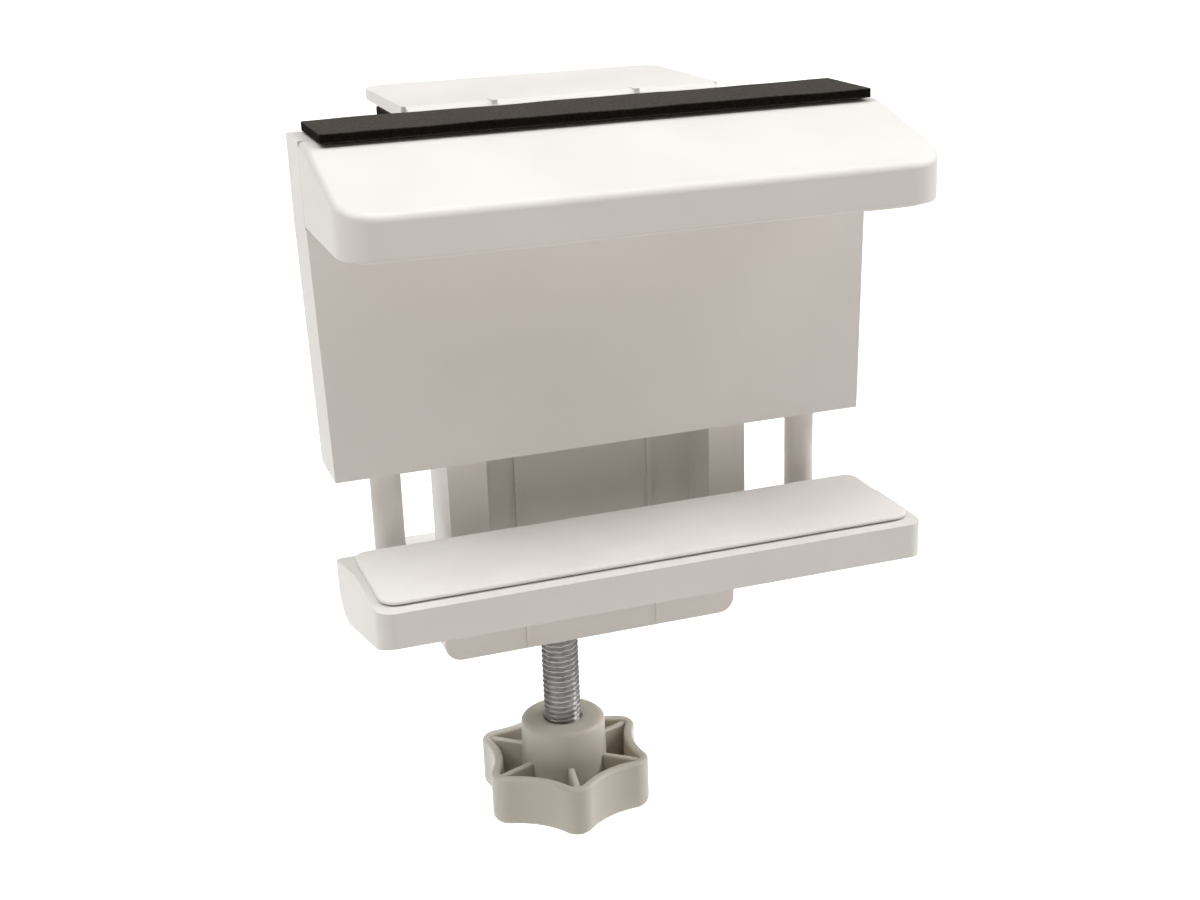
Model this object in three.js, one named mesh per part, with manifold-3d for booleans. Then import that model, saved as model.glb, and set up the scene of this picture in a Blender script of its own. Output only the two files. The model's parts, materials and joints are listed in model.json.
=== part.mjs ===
// A holder that clamps to the edge of a desk. A body with a fixed upper jaw hangs in front of the edge,
// a padded lower jaw slides under it on two guide rods, and a C-shaped frame behind the body carries the
// desk clamp: a top flange, a bottom arm, and a star-knob screw that lifts a pressure foot.
//
// Millimetres, +X along the desk edge, +Y into the desk, +Z up. The origin is the centre of the flange
// pad's underside, which rests on the desk top. The pieces are laid out from a working datum: the middle
// of the lower front edge of the body wall, and one group carries them to the origin.

import * as THREE from 'three';
import { mergeVertices } from 'three/addons/utils/BufferGeometryUtils.js';
import Module from 'manifold-3d';

const wasm = await Module();
wasm.setup();

// ---- Driving dimensions ------------------------------------------------------------------------------

const GAP = 0.3;                 // clearance between two pieces that touch

const BODY_WIDTH = 130;          // across the top of the body
const BODY_BASE_WIDTH = 127.4;   // across its lower edge: the sides have a little draft
const BODY_DEPTH = 15.6;
const BODY_HEIGHT = 74.7;
const BODY_WALL = 2.5;
const SHELL_SIDE = 2.5;          // side, top and bottom walls of the shell

const JAW_UNDERSIDE = 56.5;      // underside of the fixed upper jaw
const JAW_FRONT = -38.3;
const JAW_LIP = 9;               // height of the upper jaw's front lip
const JAW_CREST = -5.5;          // where its sloping top meets the flat top
const JAW_REAR = 1;              // the seam between the jaw and the body
const JAW_CORNER = 8.4;          // plan radius of its front corners
const JAW_SHELL = 2.6;
const PAD_INSET = 3.2;           // both jaws' pads stop this far behind the jaw's front
const PAD_CORNERS = [4, 4, 3, 3];
const UPPER_PAD_THICK = 1.5;
const UPPER_PAD_PROUD = 1;       // the upper jaw's pad stands this far out of its pocket
const LOWER_PAD_THICK = 1;

const STRIP_WIDTH = 124;         // foam strip along the flat top
const STRIP_FRONT = -7.6;
const STRIP_REAR = 13.5;
const STRIP_THICK = 2.2;

const LOWER_WIDTH = 126.6;       // sliding lower jaw, at the height where friction has left it
const LOWER_RIM = -17.3;         // level rim along its front
const LOWER_FRONT = -34.9;
const LOWER_LIP = 8;
const LOWER_CORNER = 4;
const LOWER_FALL = -12;          // behind here its top falls towards the rear
const LOWER_REAR = 12.7;
const LOWER_REAR_TOP = -22.9;
const LOWER_WALL = 2.6;
const LOWER_CEILING = -20;       // top of the hollows under the lower jaw
const LOWER_BELOW = -40;         // a level under all of the lower jaw

const ROD_RADIUS = 3.5;
const ROD_X = 51.4;
const ROD_Y = 6.5;
const ROD_TOP = 48;
const ROD_FOOT = -31.5;
const SOCKET_RADIUS = 5.6;       // sockets in the back of the lower jaw hold the rods
const SOCKET_BOTTOM = ROD_FOOT - 2.5;
const BUSH_RADIUS = 4.7;
const BUSH_TOP = 26;

const FLANGE_HALF = 38;          // the clamp frame's flange and arm
const FLANGE_TOP = 77;
const FLANGE_THICK = 2.7;
const FLANGE_REAR = 65;
const DESK_PAD_FRONT = 28;
const DESK_PAD_REAR = 50;
const DESK_PAD_THICK = 2.2;
const COLUMN_OUTER = 37;         // the frame's spine: two columns with a web behind them
const COLUMN_INNER = 27.7;
const COLUMN_FRONT = 6.6;
const COLUMN_TAPER = -33;        // below here the columns run back to the arm
const COLUMN_REACH = 18;         // behind here they go up to the flange, past the body's top
const WEB_FRONT = 20;
const WEB_REAR = 23.7;
const WEB_BEND = 3.5;
const RIB_X = 17;                // thin ribs down the front of the web
const RIB_WIDTH = 1.2;
const ARM_FRONT = 16;
const ARM_REAR = 66;
const ARM_BOTTOM = -56;
const ARM_TOP = -42;

const SCREW_Y = 46;              // M10 clamp screw
const SCREW_RADIUS = 5;
const SCREW_END = 14;            // top of the full thread, below the swivel neck
const NUT_FLATS = 17;
const NUT_HEIGHT = 8;

const HUB_RADIUS = 11.4;         // star knob
const HUB_TOP = -93;
const KNOB_RIM_TOP = -102.7;
const KNOB_BOTTOM = -117;
const KNOB_TIP_RADIUS = 24;      // axis to the tip of a lobe
const KNOB_WAIST_RADIUS = 19.6;  // axis to the middle of a hollow side
const KNOB_TIP_ROUND = 4.8;
const KNOB_WALL = 2.5;
const KNOB_FLOOR = 3;
const KNOB_RIB = 1.8;            // thickness of the spokes from the hub to the tips
const KNOB_LOBES = 6;
const KNOB_TURN = 21;            // degrees from +X to the first lobe

const DESK_TOP = FLANGE_TOP - FLANGE_THICK - GAP - DESK_PAD_THICK;
const DESK_PAD_MIDDLE = (DESK_PAD_FRONT + DESK_PAD_REAR) / 2;

// ---- Materials ---------------------------------------------------------------------------------------

const finish = (color, roughness, metalness) =>
  new THREE.MeshStandardMaterial({ color, roughness, metalness });
const whitePlastic = finish(0xf1efeb, 0.42, 0);
const ivoryPlastic = finish(0xe6e3d8, 0.45, 0);
const blackFoam = finish(0x2b2925, 0.95, 0);
const paleRubber = finish(0xf3f1ed, 0.7, 0);
const darkRubber = finish(0x242322, 0.85, 0);
const zincSteel = finish(0x9a9c9e, 0.35, 0.9);

// ---- Solids ------------------------------------------------------------------------------------------

function toSolid(geometry) {
  geometry.deleteAttribute('normal');
  geometry.deleteAttribute('uv');
  const merged = mergeVertices(geometry, 1e-4);
  const index = merged.index.array;
  const triangles = [];
  for (let i = 0; i < index.length; i += 3) {
    const [a, b, c] = [index[i], index[i + 1], index[i + 2]];
    if (a !== b && b !== c && c !== a) triangles.push(a, b, c);
  }
  return new wasm.Manifold(new wasm.Mesh({
    numProp: 3,
    vertProperties: new Float32Array(merged.attributes.position.array),
    triVerts: new Uint32Array(triangles),
  }));
}

function toGeometry(solid) {
  const mesh = solid.getMesh();
  const geometry = new THREE.BufferGeometry();
  geometry.setAttribute('position', new THREE.BufferAttribute(mesh.vertProperties, 3));
  geometry.setIndex(new THREE.BufferAttribute(mesh.triVerts, 1));
  geometry.computeVertexNormals();
  return geometry;
}

const join = (...solids) => solids.reduce((sum, solid) => sum.add(solid));
const cut = (solid, ...tools) => tools.reduce((rest, tool) => rest.subtract(tool), solid);

function box([x0, x1], [y0, y1], [z0, z1]) {
  const geometry = new THREE.BoxGeometry(x1 - x0, y1 - y0, z1 - z0);
  geometry.translate((x0 + x1) / 2, (y0 + y1) / 2, (z0 + z1) / 2);
  return toSolid(geometry);
}

const extrude = (shape, depth) =>
  new THREE.ExtrudeGeometry(shape, { depth, bevelEnabled: false, curveSegments: 3 });

// A (Y, Z) outline carried along X.
function alongX(shape, x0, x1) {
  const geometry = extrude(shape, x1 - x0);
  const [x, y, z] = [new THREE.Vector3(0, 1, 0), new THREE.Vector3(0, 0, 1), new THREE.Vector3(1, 0, 0)];
  geometry.applyMatrix4(new THREE.Matrix4().makeBasis(x, y, z));
  geometry.translate(x0, 0, 0);
  return toSolid(geometry);
}

// An (X, Z) outline carried along Y.
function alongY(shape, y0, y1) {
  const geometry = extrude(shape, y1 - y0);
  geometry.rotateX(Math.PI / 2);
  geometry.translate(0, y1, 0);
  return toSolid(geometry);
}

// An (X, Y) outline carried up Z.
function alongZ(shape, z0, z1) {
  const geometry = extrude(shape, z1 - z0);
  geometry.translate(0, 0, z0);
  return toSolid(geometry);
}

// A closed (radius, height) profile, listed anticlockwise, turned about Z.
function turned(profile, x = 0, y = 0, sides = 20) {
  const points = profile.map(([radius, height]) => new THREE.Vector2(radius, height));
  const geometry = new THREE.LatheGeometry(points, sides);
  geometry.rotateX(Math.PI / 2);
  geometry.translate(x, y, 0);
  return toSolid(geometry);
}

const rod = (radius, z0, z1, x = 0, y = 0, sides = 20) =>
  turned([[0, z0], [radius, z0], [radius, z1], [0, z1]], x, y, sides);

const tube = (outer, inner, z0, z1, x = 0, y = 0, sides = 20) =>
  turned([[inner, z0], [outer, z0], [outer, z1], [inner, z1], [inner, z0]], x, y, sides);

// A straight bore along Y.
function boreY(radius, x, z, y0, y1) {
  const geometry = new THREE.CylinderGeometry(radius, radius, y1 - y0, 12);
  geometry.translate(x, (y0 + y1) / 2, z);
  return toSolid(geometry);
}

function polygon(points) {
  return new THREE.Shape(points.map(([a, b]) => new THREE.Vector2(a, b)));
}

// A rectangle with its own radius at each corner: low-low, high-low, high-high, low-high. 0 is square.
function roundedRectangle([a0, a1], [b0, b1], radii) {
  const corners = [[a0, b0, 1, 1], [a1, b0, -1, 1], [a1, b1, -1, -1], [a0, b1, 1, -1]];
  const shape = new THREE.Shape();
  corners.forEach(([a, b, inA, inB], i) => {
    const start = Math.PI + i * (Math.PI / 2);
    const r = radii[i];
    if (r > 0) shape.absarc(a + inA * r, b + inB * r, r, start, start + Math.PI / 2);
    else if (i === 0) shape.moveTo(a, b);
    else shape.lineTo(a, b);
  });
  return shape;
}

// A pan-head screw with a cross recess. Its head is up and the underside of the head is at height 0.
function panScrew(headRadius, headHeight, shankRadius, length) {
  const crown = headHeight * 0.55;
  const body = turned([
    [0, -length], [shankRadius * 0.6, -length], [shankRadius, -length + shankRadius], [shankRadius, 0],
    [headRadius, 0], [headRadius, crown], [headRadius * 0.75, headHeight], [0, headHeight],
  ], 0, 0, 12);
  const arm = headRadius * 0.55;
  const slot = headRadius * 0.13;
  const recess = [headHeight * 0.5, headHeight + 1];
  return cut(body, box([-arm, arm], [-slot, slot], recess), box([-slot, slot], [-arm, arm], recess));
}

// ---- Assembly tree -----------------------------------------------------------------------------------

const holder = new THREE.Group();
const datum = new THREE.Group();
datum.position.set(0, -DESK_PAD_MIDDLE, -DESK_TOP);
holder.add(datum);

function add(name, solid, material) {
  const mesh = new THREE.Mesh(toGeometry(solid), material);
  mesh.name = name;
  datum.add(mesh);
  return mesh;
}

const sides = [['left', -1], ['right', 1]];

// ---- Body: shell, rear covers, bushes ----------------------------------------------------------------

const COLUMN_MIDDLE = (COLUMN_OUTER + COLUMN_INNER) / 2;
const BODY_SCREW_HEIGHTS = [14, 60];
const COVER_SCREW_HEIGHTS = [12, 50];
const JAW_SCREW_X = 41;
const JAW_SCREW_Z = 65.5;
const COVER_THICK = 2.3;
const COVER_FRONT = BODY_DEPTH - COVER_THICK;
const COVER_SCREW_X = 41.5;
const PILOT_RADIUS = 2.05;       // holes for the plastic-thread screws
const SHANK_RADIUS = 1.75;

// Half the body's outer width at a height, less an inset.
const halfWidth = (z, inset) =>
  THREE.MathUtils.lerp(BODY_BASE_WIDTH, BODY_WIDTH, Math.min(z / JAW_UNDERSIDE, 1)) / 2 - inset;

// The body's front view: straight sides below the jaw's underside spread by the draft, upright above.
function bodyOutline(inset, z0, z1) {
  return polygon([
    [-halfWidth(z0, inset), z0], [halfWidth(z0, inset), z0],
    [halfWidth(JAW_UNDERSIDE, inset), JAW_UNDERSIDE], [halfWidth(z1, inset), z1],
    [-halfWidth(z1, inset), z1], [-halfWidth(JAW_UNDERSIDE, inset), JAW_UNDERSIDE],
  ]);
}

function bodyShell() {
  let shell = cut(
    alongY(bodyOutline(0, 0, BODY_HEIGHT), 0, BODY_DEPTH),
    box([-BODY_WIDTH, BODY_WIDTH], [-1, JAW_REAR + GAP], [JAW_UNDERSIDE - GAP, BODY_HEIGHT + 1]),
    alongY(bodyOutline(SHELL_SIDE, SHELL_SIDE, BODY_HEIGHT - SHELL_SIDE), BODY_WALL, BODY_DEPTH + 1),
  );
  const slotHalf = COLUMN_OUTER + GAP;
  shell = cut(shell, box([-slotHalf, slotHalf], [COLUMN_FRONT - GAP, BODY_DEPTH + 1], [-1, SHELL_SIDE + 1]));
  for (const [, side] of sides) {
    const x = side * ROD_X;
    shell = join(shell, rod(BUSH_RADIUS + 1.6, SHELL_SIDE - 1, BUSH_TOP, x, ROD_Y));
    shell = cut(shell, rod(BUSH_RADIUS + GAP, SHELL_SIDE, BUSH_TOP + 1, x, ROD_Y));
    shell = cut(shell, rod(ROD_RADIUS + GAP, -1, SHELL_SIDE + 1, x, ROD_Y));
    for (const z of BODY_SCREW_HEIGHTS) {
      const bossX = side * COLUMN_MIDDLE;
      shell = join(shell, boreY(4.2, bossX, z, BODY_WALL - 1, COLUMN_FRONT - GAP));
      shell = cut(shell, boreY(PILOT_RADIUS, bossX, z, 1.5, BODY_DEPTH));
    }
    for (const z of COVER_SCREW_HEIGHTS) {
      const bossX = side * COVER_SCREW_X;
      shell = join(shell, boreY(3, bossX, z, BODY_WALL - 1, COVER_FRONT - GAP));
      shell = cut(shell, boreY(PILOT_RADIUS, bossX, z, 7, BODY_DEPTH));
    }
    shell = cut(shell, boreY(PILOT_RADIUS, side * JAW_SCREW_X, JAW_SCREW_Z, -1, BODY_WALL + 1));
  }
  return shell;
}

function rearCover(side) {
  const inset = SHELL_SIDE + GAP;
  const low = SHELL_SIDE + GAP;
  const high = BODY_HEIGHT - SHELL_SIDE - GAP;
  const inner = COLUMN_OUTER + GAP;
  const outline = polygon([
    [inner, low], [halfWidth(low, inset), low],
    [halfWidth(JAW_UNDERSIDE, inset), JAW_UNDERSIDE], [halfWidth(high, inset), high], [inner, high],
  ]);
  let cover = alongY(outline, COVER_FRONT, BODY_DEPTH);
  for (const z of COVER_SCREW_HEIGHTS) {
    cover = cut(cover, boreY(PILOT_RADIUS, COVER_SCREW_X, z, COVER_FRONT - 1, BODY_DEPTH + 1));
  }
  for (let slot = 0; slot < 3; slot += 1) {
    const z = 24 + 5 * slot;
    cover = cut(cover, box([47, 57], [COVER_FRONT - 1, BODY_DEPTH + 1], [z, z + 1.6]));
  }
  return side < 0 ? cover.mirror([1, 0, 0]) : cover;
}

function addScrew(name, screw, position, rotation) {
  const mesh = add(name, screw, zincSteel);
  mesh.position.set(...position);
  mesh.rotation.set(...rotation);
}

add('body_shell', bodyShell(), whitePlastic);
for (const [name, side] of sides) {
  add(`rear_cover_${name}`, rearCover(side), whitePlastic);
  add(`guide_bush_${name}`,
    tube(BUSH_RADIUS, ROD_RADIUS + 0.2, SHELL_SIDE + GAP, BUSH_TOP, side * ROD_X, ROD_Y), ivoryPlastic);
}
for (const [name, side] of sides) {
  for (const [level, z] of [['lower', BODY_SCREW_HEIGHTS[0]], ['upper', BODY_SCREW_HEIGHTS[1]]]) {
    addScrew(`body_screw_${level}_${name}`, panScrew(3.4, 2.4, SHANK_RADIUS, 6.6),
      [side * COLUMN_MIDDLE, COLUMN_FRONT + 2.8, z], [-Math.PI / 2, 0, 0]);
  }
  for (const [level, z] of [['lower', COVER_SCREW_HEIGHTS[0]], ['upper', COVER_SCREW_HEIGHTS[1]]]) {
    addScrew(`cover_screw_${level}_${name}`, panScrew(3, 1.8, SHANK_RADIUS, 8),
      [side * COVER_SCREW_X, BODY_DEPTH + GAP, z], [-Math.PI / 2, 0, 0]);
  }
  addScrew(`jaw_screw_${name}`, panScrew(2.9, 2, SHANK_RADIUS, 12),
    [side * JAW_SCREW_X, BODY_WALL + GAP, JAW_SCREW_Z], [-Math.PI / 2, 0, 0]);
}

// ---- Upper jaw, its pad, and the foam strip ----------------------------------------------------------

const UPPER_PAD_HALF = 61.5;
const UPPER_PAD_FRONT = JAW_FRONT + PAD_INSET;
const UPPER_PAD_REAR = -2;
const UPPER_POCKET = UPPER_PAD_THICK + GAP - UPPER_PAD_PROUD;
const JAW_SLOPE = (BODY_HEIGHT - JAW_UNDERSIDE - JAW_LIP) / (JAW_CREST - JAW_FRONT);

function jawPlan(inset, rear) {
  const radius = JAW_CORNER - inset;
  const half = BODY_WIDTH / 2 - inset;
  return roundedRectangle([-half, half], [JAW_FRONT + inset, rear], [radius, radius, 0, 0]);
}

// The upper jaw's side view, from the lip up its slope to the flat top.
function jawSide(inset, rear) {
  const slopeDrop = inset * Math.hypot(1, JAW_SLOPE);
  return polygon([
    [rear, JAW_UNDERSIDE + inset], [JAW_FRONT, JAW_UNDERSIDE + inset],
    [JAW_FRONT, JAW_UNDERSIDE + JAW_LIP - slopeDrop], [JAW_CREST, BODY_HEIGHT - inset],
    [rear, BODY_HEIGHT - inset],
  ].reverse());
}

// A jaw pad's outline, with rounder corners at the front.
const padPlan = (half, front, rear) => roundedRectangle([-half, half], [front, rear], PAD_CORNERS);

function upperJaw() {
  const half = BODY_WIDTH / 2;
  const outer = alongX(jawSide(0, JAW_REAR), -half, half)
    .intersect(alongZ(jawPlan(0, JAW_REAR), JAW_UNDERSIDE - 1, BODY_HEIGHT + 1));
  const hollow = alongX(jawSide(JAW_SHELL, JAW_REAR + 1), -half, half)
    .intersect(alongZ(jawPlan(JAW_SHELL, JAW_REAR + 1), JAW_UNDERSIDE - 1, BODY_HEIGHT + 1));
  let jaw = cut(outer, hollow);
  for (const x of [-20, 0, 20]) {
    jaw = join(jaw, box([x - 0.9, x + 0.9], [-30, 0], [JAW_UNDERSIDE + 2, 66]));
  }
  for (const [, side] of sides) {
    const x = side * JAW_SCREW_X;
    jaw = join(jaw, box([x - 4.2, x + 4.2], [-14, JAW_REAR], [JAW_UNDERSIDE + 2, 70]));
    jaw = cut(jaw, boreY(PILOT_RADIUS, x, JAW_SCREW_Z, -12, JAW_REAR + 1));
  }
  const pocket = padPlan(UPPER_PAD_HALF + GAP, UPPER_PAD_FRONT - GAP, UPPER_PAD_REAR + GAP);
  return cut(jaw, alongZ(pocket, JAW_UNDERSIDE - 1, JAW_UNDERSIDE + UPPER_POCKET));
}

add('upper_jaw', upperJaw(), whitePlastic);
add('upper_jaw_pad', alongZ(padPlan(UPPER_PAD_HALF, UPPER_PAD_FRONT, UPPER_PAD_REAR),
  JAW_UNDERSIDE - UPPER_PAD_PROUD, JAW_UNDERSIDE - UPPER_PAD_PROUD + UPPER_PAD_THICK), paleRubber);
add('top_foam_strip', box([-STRIP_WIDTH / 2, STRIP_WIDTH / 2], [STRIP_FRONT, STRIP_REAR],
  [BODY_HEIGHT + GAP, BODY_HEIGHT + GAP + STRIP_THICK]), blackFoam);

// ---- Lower jaw with its pad, rods and stops ----------------------------------------------------------

const LOWER_PAD_HALF = 61.7;
const LOWER_PAD_FRONT = LOWER_FRONT + PAD_INSET;
const LOWER_PAD_REAR = -1.8;

// The lower jaw's side view: a lip, a belly that deepens to a rounded heel, and a top that falls away.
function lowerJawSide() {
  const shape = new THREE.Shape();
  shape.moveTo(LOWER_FRONT, LOWER_RIM - LOWER_LIP);
  shape.lineTo(0.5, -34.3);
  shape.bezierCurveTo(5.5, -35.4, 9.8, -33, 11.2, -28.3);
  shape.lineTo(LOWER_REAR, LOWER_REAR_TOP);
  shape.lineTo(LOWER_FALL, LOWER_RIM);
  shape.lineTo(LOWER_FRONT, LOWER_RIM);
  return shape;
}

function lowerJaw() {
  const half = LOWER_WIDTH / 2;
  const plan = roundedRectangle([-half, half], [LOWER_FRONT, LOWER_REAR], [LOWER_CORNER, LOWER_CORNER, 2, 2]);
  const seat = padPlan(LOWER_PAD_HALF, LOWER_PAD_FRONT, LOWER_PAD_REAR);
  const notchHalf = COLUMN_OUTER + 1.4;
  const [cellFront, cellRear, cellRearTop] = [LOWER_FRONT + LOWER_WALL, 3, -23.3];
  const cell = polygon([
    [cellFront, LOWER_BELOW], [cellRear, LOWER_BELOW], [cellRear, cellRearTop], [LOWER_FALL, LOWER_CEILING],
    [cellFront, LOWER_CEILING],
  ]);
  let jaw = alongX(lowerJawSide(), -half, half).intersect(alongZ(plan, LOWER_BELOW, LOWER_RIM + 1));
  jaw = join(jaw, alongZ(seat, LOWER_CEILING - 1.5, LOWER_RIM));
  jaw = cut(jaw,
    box([-notchHalf, notchHalf], [COLUMN_FRONT - 1, LOWER_REAR + 1], [LOWER_BELOW, LOWER_RIM + 1]));
  for (const [x0, x1] of [[-half + LOWER_WALL, -31], [-29, -1], [1, 29], [31, half - LOWER_WALL]]) {
    jaw = cut(jaw, alongX(cell, x0, x1));
  }
  for (const [, side] of sides) {
    const x = side * ROD_X;
    jaw = join(jaw, rod(SOCKET_RADIUS, SOCKET_BOTTOM, LOWER_REAR_TOP - 1.1, x, ROD_Y));
    jaw = cut(jaw, rod(ROD_RADIUS + GAP, ROD_FOOT - GAP, 0, x, ROD_Y),
      rod(PILOT_RADIUS, LOWER_BELOW, ROD_FOOT, x, ROD_Y, 12),
      rod(SOCKET_RADIUS, LOWER_BELOW, SOCKET_BOTTOM, x, ROD_Y));
  }
  return jaw;
}

// A guide rod has a screw hole in each end.
function guideRod(x) {
  return cut(rod(ROD_RADIUS, ROD_FOOT, ROD_TOP, x, ROD_Y),
    rod(PILOT_RADIUS, ROD_FOOT - 1, ROD_FOOT + 13, x, ROD_Y, 12),
    rod(PILOT_RADIUS, ROD_TOP - 11, ROD_TOP + 1, x, ROD_Y, 12));
}

const STOP_THICK = 1.5;

// An oval plate on top of a rod, which meets the bush before the rod can leave it.
function rodStop(x) {
  const oval = roundedRectangle([x - 5.4, x + 5.4], [ROD_Y - 3.2, ROD_Y + 3.2], [3.1, 3.1, 3.1, 3.1]);
  const [low, high] = [ROD_TOP + GAP, ROD_TOP + GAP + STOP_THICK];
  return cut(alongZ(oval, low, high), rod(PILOT_RADIUS, low - 1, high + 1, x, ROD_Y, 12));
}

add('lower_jaw', lowerJaw(), whitePlastic);
add('lower_jaw_pad', alongZ(padPlan(LOWER_PAD_HALF, LOWER_PAD_FRONT, LOWER_PAD_REAR),
  LOWER_RIM + GAP, LOWER_RIM + GAP + LOWER_PAD_THICK), paleRubber);
for (const [name, side] of sides) {
  const x = side * ROD_X;
  add(`guide_rod_${name}`, guideRod(x), whitePlastic);
  add(`rod_stop_${name}`, rodStop(x), ivoryPlastic);
  addScrew(`rod_stop_screw_${name}`, panScrew(3, 2, SHANK_RADIUS, 11),
    [x, ROD_Y, ROD_TOP + STOP_THICK + 2 * GAP], [0, 0, 0]);
  addScrew(`rod_foot_screw_${name}`, panScrew(3, 2, SHANK_RADIUS, 13),
    [x, ROD_Y, SOCKET_BOTTOM - GAP], [Math.PI, 0, 0]);
}

// ---- Clamp frame, its desk pad, the nut and its cover plate ------------------------------------------

const NUT_CORNER = NUT_FLATS / Math.sqrt(3);
const PLATE_THICK = 2;
const PLATE_HALF = 15;
const PLATE_SCREW_X = 12;
const NUT_TOP = ARM_TOP - PLATE_THICK - GAP;
const GUSSET_X = 30;

function hexagon(circumradius, z0, z1, y) {
  const geometry = new THREE.CylinderGeometry(circumradius, circumradius, z1 - z0, 6);
  geometry.rotateX(Math.PI / 2);
  geometry.translate(0, y, (z0 + z1) / 2);
  return toSolid(geometry);
}

function clampFrame() {
  const flangeBottom = FLANGE_TOP - FLANGE_THICK;
  const columnTop = BODY_HEIGHT - SHELL_SIDE - 1;
  const webSide = new THREE.Shape();
  webSide.moveTo(WEB_FRONT, ARM_TOP - 2);
  webSide.lineTo(WEB_REAR, ARM_TOP - 2);
  webSide.lineTo(WEB_REAR, FLANGE_TOP);
  webSide.absarc(WEB_FRONT + WEB_BEND, FLANGE_TOP - WEB_BEND, WEB_BEND, Math.PI / 2, Math.PI);
  const columnSide = polygon([
    [COLUMN_FRONT, COLUMN_TAPER], [ARM_FRONT, ARM_TOP - 3], [WEB_REAR, ARM_TOP - 3],
    [WEB_REAR, flangeBottom + 1], [COLUMN_REACH, flangeBottom + 1], [COLUMN_REACH, columnTop],
    [COLUMN_FRONT, columnTop],
  ]);
  const flangePlan = roundedRectangle(
    [-FLANGE_HALF, FLANGE_HALF], [WEB_REAR - 0.5, FLANGE_REAR], [0.5, 0.5, 5, 5]);
  const armFront = roundedRectangle([-FLANGE_HALF, FLANGE_HALF], [ARM_BOTTOM, ARM_TOP], [4, 4, 1.2, 1.2]);
  let frame = join(
    alongX(webSide, -COLUMN_OUTER, COLUMN_OUTER),
    alongX(columnSide, COLUMN_INNER, COLUMN_OUTER),
    alongX(columnSide, -COLUMN_OUTER, -COLUMN_INNER),
    alongZ(flangePlan, flangeBottom, FLANGE_TOP),
    alongY(armFront, ARM_FRONT, ARM_REAR),
  );
  for (const [, side] of sides) {
    const rib = [side * RIB_X - RIB_WIDTH / 2, side * RIB_X + RIB_WIDTH / 2];
    const gusset = polygon([
      [WEB_REAR - 1, ARM_TOP - 1], [WEB_REAR + 9, ARM_TOP - 1], [WEB_REAR - 1, ARM_TOP + 12],
    ]);
    const gussetX = side * GUSSET_X;
    frame = join(frame,
      box(rib, [WEB_FRONT - 1, WEB_FRONT + 1], [ARM_TOP - 1, FLANGE_TOP - 1]),
      box(rib, [WEB_FRONT + 1, WEB_FRONT + 5.5], [FLANGE_TOP - 3, FLANGE_TOP + 0.2]),
      box(rib, [ARM_FRONT - 0.7, ARM_FRONT + 1], [ARM_BOTTOM + 0.6, ARM_TOP - 0.6]),
      alongX(gusset, gussetX - 1.5, gussetX + 1.5));
    for (const y of [[ARM_FRONT + 3, 43.5], [46.5, ARM_REAR - 3]]) {
      const x = [side < 0 ? -FLANGE_HALF + 4 : 16, side < 0 ? -16 : FLANGE_HALF - 4];
      frame = cut(frame, box(x, y, [ARM_BOTTOM - 1, ARM_TOP - 3]));
    }
    for (const z of BODY_SCREW_HEIGHTS) {
      const x = side * COLUMN_MIDDLE;
      frame = cut(frame, boreY(PILOT_RADIUS, x, z, 0, WEB_REAR + 1),
        boreY(3.8, x, z, COLUMN_FRONT + 2.5, WEB_REAR + 1));
    }
    frame = cut(frame, rod(PILOT_RADIUS, ARM_TOP - 9, ARM_TOP, side * PLATE_SCREW_X, SCREW_Y, 12));
  }
  const pocket = [SCREW_Y - PLATE_HALF - GAP, SCREW_Y + PLATE_HALF + GAP];
  return cut(frame,
    rod(SCREW_RADIUS + 0.5, ARM_BOTTOM - 1, ARM_TOP + 1, 0, SCREW_Y, 32),
    box([-PLATE_HALF - GAP, PLATE_HALF + GAP], pocket, [ARM_TOP - PLATE_THICK - GAP, ARM_TOP + 1]),
    hexagon(NUT_CORNER + GAP, NUT_TOP - NUT_HEIGHT - 2 * GAP, ARM_TOP, SCREW_Y));
}

function nutPlate() {
  let plate = box([-PLATE_HALF, PLATE_HALF], [SCREW_Y - PLATE_HALF, SCREW_Y + PLATE_HALF],
    [ARM_TOP - PLATE_THICK, ARM_TOP]);
  plate = cut(plate, rod(SCREW_RADIUS + 0.6, ARM_TOP - 3, ARM_TOP + 1, 0, SCREW_Y, 32));
  for (const [, side] of sides) {
    plate = cut(plate, rod(PILOT_RADIUS, ARM_TOP - 3, ARM_TOP + 1, side * PLATE_SCREW_X, SCREW_Y, 12));
  }
  return plate;
}

add('clamp_frame', clampFrame(), whitePlastic);
add('desk_pad', box([-FLANGE_HALF, FLANGE_HALF], [DESK_PAD_FRONT, DESK_PAD_REAR],
  [DESK_TOP, DESK_TOP + DESK_PAD_THICK]), blackFoam);
add('screw_nut', cut(hexagon(NUT_CORNER, NUT_TOP - NUT_HEIGHT, NUT_TOP, SCREW_Y),
  rod(SCREW_RADIUS + GAP, NUT_TOP - NUT_HEIGHT - 1, NUT_TOP + 1, 0, SCREW_Y, 32)), zincSteel);
add('nut_plate', nutPlate(), ivoryPlastic);
for (const [name, side] of sides) {
  addScrew(`nut_plate_screw_${name}`, panScrew(2.7, 1.6, SHANK_RADIUS, 8),
    [side * PLATE_SCREW_X, SCREW_Y, ARM_TOP + GAP], [0, 0, 0]);
}

// ---- Clamp screw, star knob and pressure foot --------------------------------------------------------

const SCREW_FOOT = -113;
const NECK_TOP = SCREW_END + 3.6;
const BALL_TOP = NECK_TOP + 3;
const FOOT_TOP = BALL_TOP + 2.6;
const FOOT_RADIUS = 15;
const NECK_RADIUS = 3;
const BALL_RADIUS = 4;

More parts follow.
